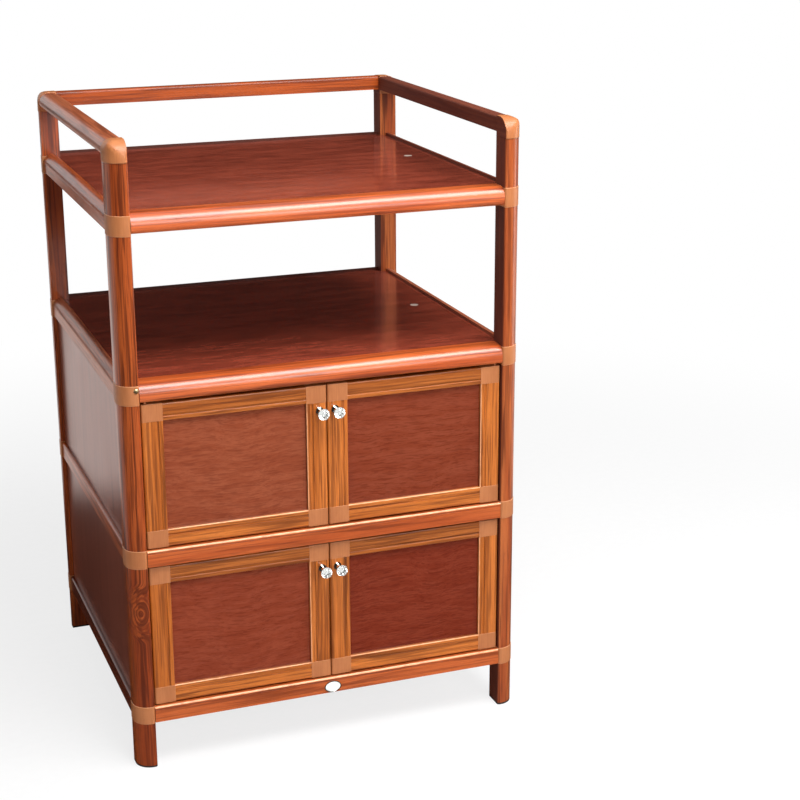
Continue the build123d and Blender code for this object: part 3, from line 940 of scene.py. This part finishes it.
def knob(door):
    node = f"{door}_knob_crystal"
    low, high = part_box(node)
    middle = (low + high) / 2
    depth = high.y - low.y
    radius = (high.z - low.z) / 2
    step = 2 * math.pi / CRYSTAL_SIDES
    stone = bmesh.new()
    for back, share, turn in CRYSTAL_RINGS:
        place = facing_front(middle.x, low.y + back * depth, middle.z, turn * step)
        bmesh.ops.create_circle(stone, segments=CRYSTAL_SIDES, radius=share * radius, matrix=place)
    bmesh.ops.convex_hull(stone, input=stone.verts)
    bmesh.ops.recalc_face_normals(stone, faces=stone.faces)
    for face in stone.faces:
        face.material_index = int(face.normal.y > SILVERED)
    piece = new_piece(
        f"{door}_cut_crystal", stone, [crystal_glass, bright_plating], door, sharp_angle=1
    )
    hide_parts(node)


for door in DOORS:
    knob(door)


# Badge: a bare oval plate with a raised rim and a slightly domed face

BADGE_RIM_WIDTH = 1.4 * MM
BADGE_STEP = 0.5 * MM
BADGE_DOME_WIDTH = 3.0 * MM
BADGE_DOME_RISE = 0.35 * MM


def badge():
    low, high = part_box("badge_plate")
    middle = (low + high) / 2
    half = (high - low) / 2
    thickness = high.y - low.y
    plate = bmesh.new()
    bmesh.ops.create_circle(plate, cap_ends=True, segments=72, radius=1.0)
    bmesh.ops.scale(plate, vec=(half.x, half.z, 1.0), verts=plate.verts)
    bmesh.ops.transform(plate, matrix=facing_front(middle.x, high.y, middle.z), verts=plate.verts)
    sides = bmesh.ops.extrude_face_region(plate, geom=list(plate.faces))
    moved = [v for v in sides["geom"] if isinstance(v, bmesh.types.BMVert)]
    bmesh.ops.translate(plate, vec=(0, -thickness, 0), verts=moved)
    front = min(plate.faces, key=lambda f: f.calc_center_median().y)
    bmesh.ops.recalc_face_normals(plate, faces=plate.faces)
    bmesh.ops.inset_region(plate, faces=[front], thickness=BADGE_RIM_WIDTH)
    bmesh.ops.inset_region(plate, faces=[front], thickness=BADGE_STEP, depth=-BADGE_STEP)
    dome = bmesh.ops.inset_region(plate, faces=[front], thickness=BADGE_DOME_WIDTH, depth=BADGE_DOME_RISE)
    for face in [front, *dome["faces"]]:
        face.material_index = 1
    piece = new_piece("bare_badge", plate, [badge_rim, badge_enamel], "cabinet")
    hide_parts("badge_plate")


badge()


# Brass screw head on the front of the left countertop joint

SCREW_X = -0.4088
SCREW_Z = 0.854
SCREW_RADIUS = 5.5 * MM
SCREW_RISE = 2.6 * MM
# Shares of the radius and of the rise, from the middle to the foot
SCREW_PROFILE = ((0, 1), (0.45, 0.93), (0.80, 0.62), (1.0, 0.18), (1.0, 0))


def screw_head():
    middle = Vector((SCREW_X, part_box("countertop_corner_joints")[0].y, SCREW_Z))
    head = bmesh.new()
    points = []
    for out, rise in SCREW_PROFILE:
        points.append(head.verts.new(middle + Vector((out * SCREW_RADIUS, -rise * SCREW_RISE, 0))))
    edges = [head.edges.new(pair) for pair in zip(points, points[1:])]
    bmesh.ops.spin(
        head,
        geom=points + edges,
        cent=middle,
        axis=(0, 1, 0),
        angle=2 * math.pi,
        steps=32,
        use_merge=True,
    )
    bmesh.ops.remove_doubles(head, verts=head.verts, dist=MERGE)
    bmesh.ops.holes_fill(head, edges=head.edges, sides=64)
    bmesh.ops.recalc_face_normals(head, faces=head.faces)
    new_piece("brass_screw_head", head, [brass], "cabinet", sharp_angle=50)


screw_head()


# Studio

FLOOR_HALF = 40.0
FLOOR_DROP = 0.2 * MM
# Distances at which the floor turns from matt, with the object's shadow, to plain white
SHADOW_NEAR = 1.3
SHADOW_FAR = 3.2
# Share of plain white near the object, and the greys of the matt floor
NEAR_WHITE = 0.78
FLOOR_GREYS = (0.80, 0.84)


def stage_piece(name, shape, material):
    """An object of the studio, which isn't part of the cabinet."""
    mesh = bpy.data.meshes.new(name)
    shape.to_mesh(mesh)
    shape.free()
    mesh.materials.append(material)
    piece = bpy.data.objects.new(name, mesh)
    bpy.context.scene.collection.objects.link(piece)
    return piece


def bare_material(name):
    """A material without its Principled shader. Returns it and its tree."""
    made = bpy.data.materials.new(name)
    made.use_nodes = True
    made.node_tree.nodes.remove(made.node_tree.nodes["Principled BSDF"])
    return made, made.node_tree


def seen_plainly(tree):
    """1 for rays that see the white background: from the camera, off gloss and through glass."""
    path = add(tree, "LightPath").outputs
    clear = math_node(tree, "MAXIMUM", path["Is Camera Ray"], path["Is Transmission Ray"])
    return math_node(tree, "MAXIMUM", clear, path["Is Glossy Ray"])


def studio_floor():
    made, tree = bare_material("pale floor")
    place = object_place(tree)
    distance = add(tree, "VectorMath", {0: place}, operation="LENGTH").outputs["Value"]
    grain = spread(tree, noise(tree, place, (40.0, 40.0, 40.0), 2.0), 0.3, 0.7, *FLOOR_GREYS)
    grey = add(tree, "CombineColor", {0: grain, 1: grain, 2: grain}).outputs[0]
    matt = add(tree, "BsdfDiffuse", {"Color": grey}).outputs[0]
    white = add(tree, "Emission", {"Color": colour(1.0, 1.0, 1.0), "Strength": 1.0}).outputs[0]
    share = spread(tree, distance, SHADOW_NEAR, SHADOW_FAR, NEAR_WHITE, 1.0)
    share = math_node(tree, "MULTIPLY", share, seen_plainly(tree))
    mixed = add(tree, "MixShader", {0: share, 1: matt, 2: white}).outputs[0]
    tree.links.new(mixed, tree.nodes["Material Output"].inputs["Surface"])
    shape = bmesh.new()
    bmesh.ops.create_grid(shape, x_segments=1, y_segments=1, size=FLOOR_HALF)
    bmesh.ops.translate(shape, vec=(0, 0, -FLOOR_DROP), verts=shape.verts)
    stage_piece("studio_floor", shape, made)


# Dark cloths that keep the white off the gloss, where the photograph's reflections are dark.
# One hangs round the front, the right and the rear. One lies on the floor, bare in a band beside and behind,
# where a warm gauze covers the white, and bare again far behind.
CLOTH_RADIUS = 6.0
CLOTH_HEIGHT = 8.0
CLOTH_START = math.radians(-178)
CLOTH_END = math.radians(97)
BARE_NEAR = (1.35, 1.70)
BARE_FRONT = (-0.5, 0.1)
BARE_REAR = (6.0, 5.0)
BARE_FAR = (6.4, 7.2)
BARE_FAR_LEFT = (-2.45, -2.20)
GAUZE = colour(1.0, 0.85, 0.80)
CLOTH = colour(0.020, 0.018, 0.017)


def dark_cloth(name, shape, opacity=None):
    """A dark cloth that only reflections see, with gauze where its opacity is low."""
    made, tree = bare_material(name)
    dark = add(tree, "BsdfDiffuse", {"Color": CLOTH}).outputs[0]
    if opacity:
        bare = add(tree, "BsdfTransparent", {"Color": GAUZE}).outputs[0]
        dark = add(tree, "MixShader", {0: opacity(tree), 1: bare, 2: dark}).outputs[0]
    tree.links.new(dark, tree.nodes["Material Output"].inputs["Surface"])
    piece = stage_piece(name, shape, made)
    piece.visible_camera = False
    piece.visible_diffuse = False
    piece.visible_transmission = False
    piece.visible_shadow = False


def hung_cloth():
    shape = bmesh.new()
    foot = shape.verts.new((CLOTH_RADIUS, 0, 0))
    head = shape.verts.new((CLOTH_RADIUS, 0, CLOTH_HEIGHT))
    edge = shape.edges.new((foot, head))
    bmesh.ops.rotate(shape, cent=(0, 0, 0), matrix=Matrix.Rotation(CLOTH_START, 3, "Z"), verts=shape.verts)
    bmesh.ops.spin(
        shape,
        geom=[foot, head, edge],
        cent=(0, 0, 0),
        axis=(0, 0, 1),
        angle=CLOTH_END - CLOTH_START,
        steps=48,
        use_merge=False,
    )
    dark_cloth("hung_dark_cloth", shape)


def laid_cloth():
    def opacity(tree):
        place = object_place(tree)
        distance = add(tree, "VectorMath", {0: place}, operation="LENGTH").outputs["Value"]
        parts = add(tree, "SeparateXYZ", {0: place}).outputs
        x, y = parts["X"], parts["Y"]
        bare = math_node(tree, "MULTIPLY", spread(tree, y, *BARE_FRONT), spread(tree, y, *BARE_REAR))
        bare = math_node(tree, "MULTIPLY", bare, spread(tree, distance, *BARE_NEAR))
        far = math_node(tree, "MULTIPLY", spread(tree, y, *BARE_FAR), spread(tree, x, *BARE_FAR_LEFT))
        bare = math_node(tree, "MAXIMUM", bare, far)
        return math_node(tree, "SUBTRACT", 1.0, bare)

    shape = bmesh.new()
    bmesh.ops.create_grid(shape, x_segments=1, y_segments=1, size=FLOOR_HALF)
    bmesh.ops.translate(shape, vec=(0, 0, -FLOOR_DROP / 2), verts=shape.verts)
    dark_cloth("laid_dark_cloth", shape, opacity)


# Strength of the soft light from the front and from the rear, and where it turns from one to the other
AMBIENT_FRONT = 0.38
AMBIENT_REAR = 0.19
AMBIENT_TURN = (-0.3, 0.6)


def studio_world():
    """White as the background, and soft light on the object."""
    world = bpy.data.worlds.new("studio")
    bpy.context.scene.world = world
    world.use_nodes = True
    tree = world.node_tree
    direction = add(tree, "SeparateXYZ", {0: add(tree, "TexCoord").outputs["Generated"]}).outputs
    soft = spread(tree, direction["Y"], *AMBIENT_TURN, AMBIENT_FRONT, AMBIENT_REAR)
    level = blend_value(tree, seen_plainly(tree), soft, 1.0)
    tree.links.new(level, tree.nodes["Background"].inputs["Strength"])
    tree.nodes["Background"].inputs["Color"].default_value = colour(1.0, 1.0, 1.0)


def softbox(name, place, aim, width, height, power):
    lamp = bpy.data.lights.new(name, "AREA")
    lamp.shape = "RECTANGLE"
    lamp.size = width
    lamp.size_y = height
    lamp.energy = power
    box = bpy.data.objects.new(name, lamp)
    bpy.context.scene.collection.objects.link(box)
    box.location = place
    box.rotation_euler = (Vector(aim) - Vector(place)).to_track_quat("-Z", "Y").to_euler()


def photo_camera():
    forward = Vector((
        math.sin(CAMERA_YAW) * math.cos(CAMERA_PITCH),
        math.cos(CAMERA_YAW) * math.cos(CAMERA_PITCH),
        -math.sin(CAMERA_PITCH),
    ))
    level_right = Vector((math.cos(CAMERA_YAW), -math.sin(CAMERA_YAW), 0))
    level_up = level_right.cross(forward)
    right = math.cos(CAMERA_ROLL) * level_right + math.sin(CAMERA_ROLL) * level_up
    up = math.cos(CAMERA_ROLL) * level_up - math.sin(CAMERA_ROLL) * level_right
    lens = bpy.data.cameras.new("photo_camera")
    lens.sensor_width = SENSOR_WIDTH
    lens.lens = FOCAL_PIXELS / IMAGE_PIXELS * SENSOR_WIDTH
    camera = bpy.data.objects.new("photo_camera", lens)
    bpy.context.scene.collection.objects.link(camera)
    turn = Matrix((right, up, -forward)).transposed().to_4x4()
    camera.matrix_world = Matrix.Translation(CAMERA_PLACE) @ turn
    bpy.context.scene.camera = camera


studio_floor()
hung_cloth()
laid_cloth()
studio_world()
softbox(
    "key_softbox", place=(0.6, -1.60, 3.3), aim=(0.0, -0.3, 0.8), width=2.6, height=1.3, power=138.0
)
softbox(
    "front_softbox", place=(0.9, -4.2, 2.15), aim=(0.0, 0.0, 0.7), width=1.8, height=1.1, power=58.0
)
softbox(
    "right_softbox", place=(2.6, -0.5, 1.1), aim=(0.4, -0.3, 0.8), width=0.6, height=1.8, power=16.0
)
photo_camera()
bpy.context.scene.view_settings.view_transform = "Standard"
